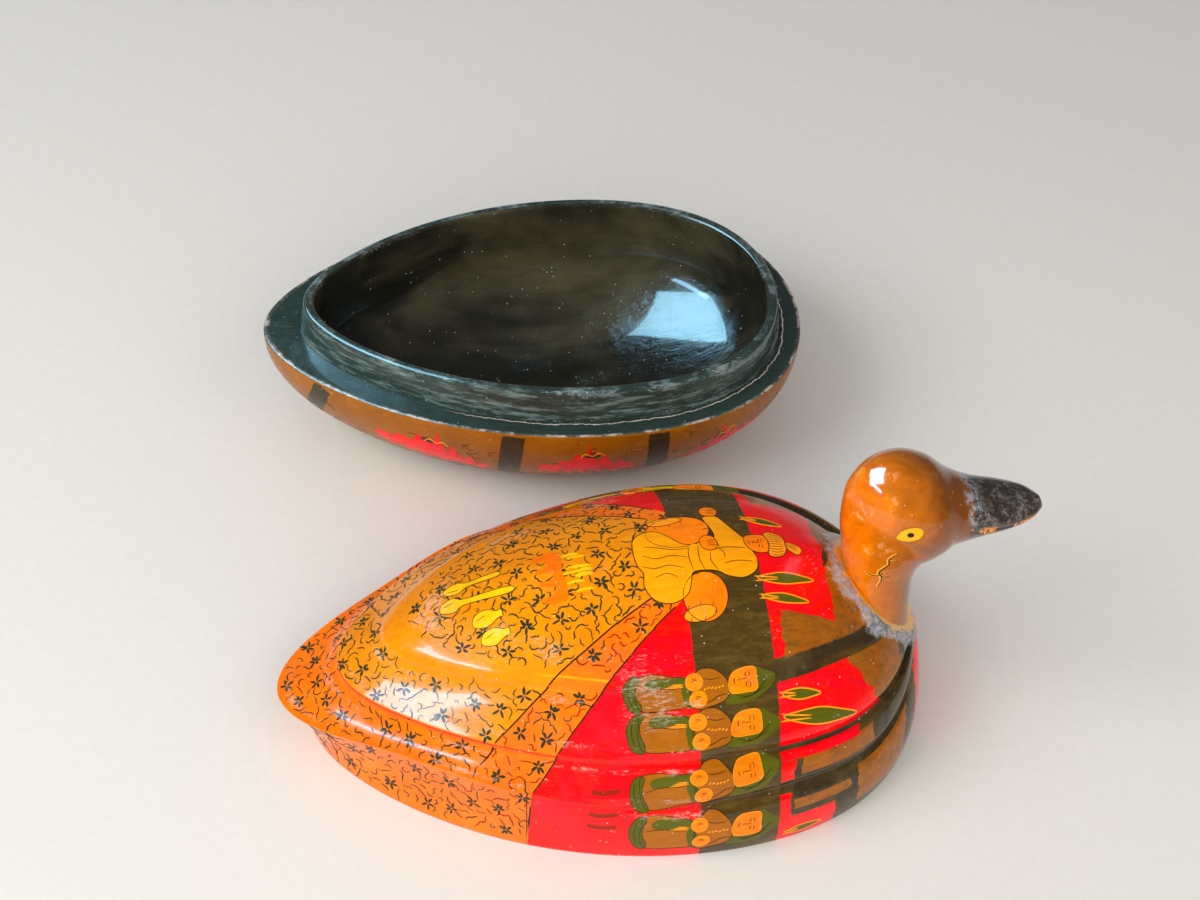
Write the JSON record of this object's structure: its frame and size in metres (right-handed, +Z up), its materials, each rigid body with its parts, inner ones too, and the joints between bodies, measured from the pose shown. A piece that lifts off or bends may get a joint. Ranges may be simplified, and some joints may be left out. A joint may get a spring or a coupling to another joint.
{
  "type": "duck-shaped papier mache box",
  "caption": "Lacquered duck-shaped box standing open: egg-shaped bowl with a raised inner collar, and a hollow lid carved as folded wings with neck, head and bill.",
  "frame": {"origin": "middle of the bowl's flat foot, on the surface it stands on", "axes": "+X along the bowl's length towards its breast, the way the bill points, +Z up, and the lid lies on the -Y side"},
  "size_m": [0.2231, 0.2527, 0.0875],
  "materials": {
    "bowl_lacquer": "gloss",
    "collar_lacquer": "gloss",
    "lid_lacquer": "gloss",
    "head_lacquer": "gloss",
    "bare_wood": "matte"
  },
  "bodies": {
    "bowl": {"bowl_shell": "bowl_lacquer", "collar": "collar_lacquer"},
    "lid": {"lid_shell": "lid_lacquer", "head": "head_lacquer", "neck_dowel": "bare_wood"}
  },
  "joints": [
    {"name": "lid_lift", "type": "slide", "parent": "bowl", "child": "lid", "axis": [0, 0, 1], "range_m": [0, 0.06]}
  ]
}
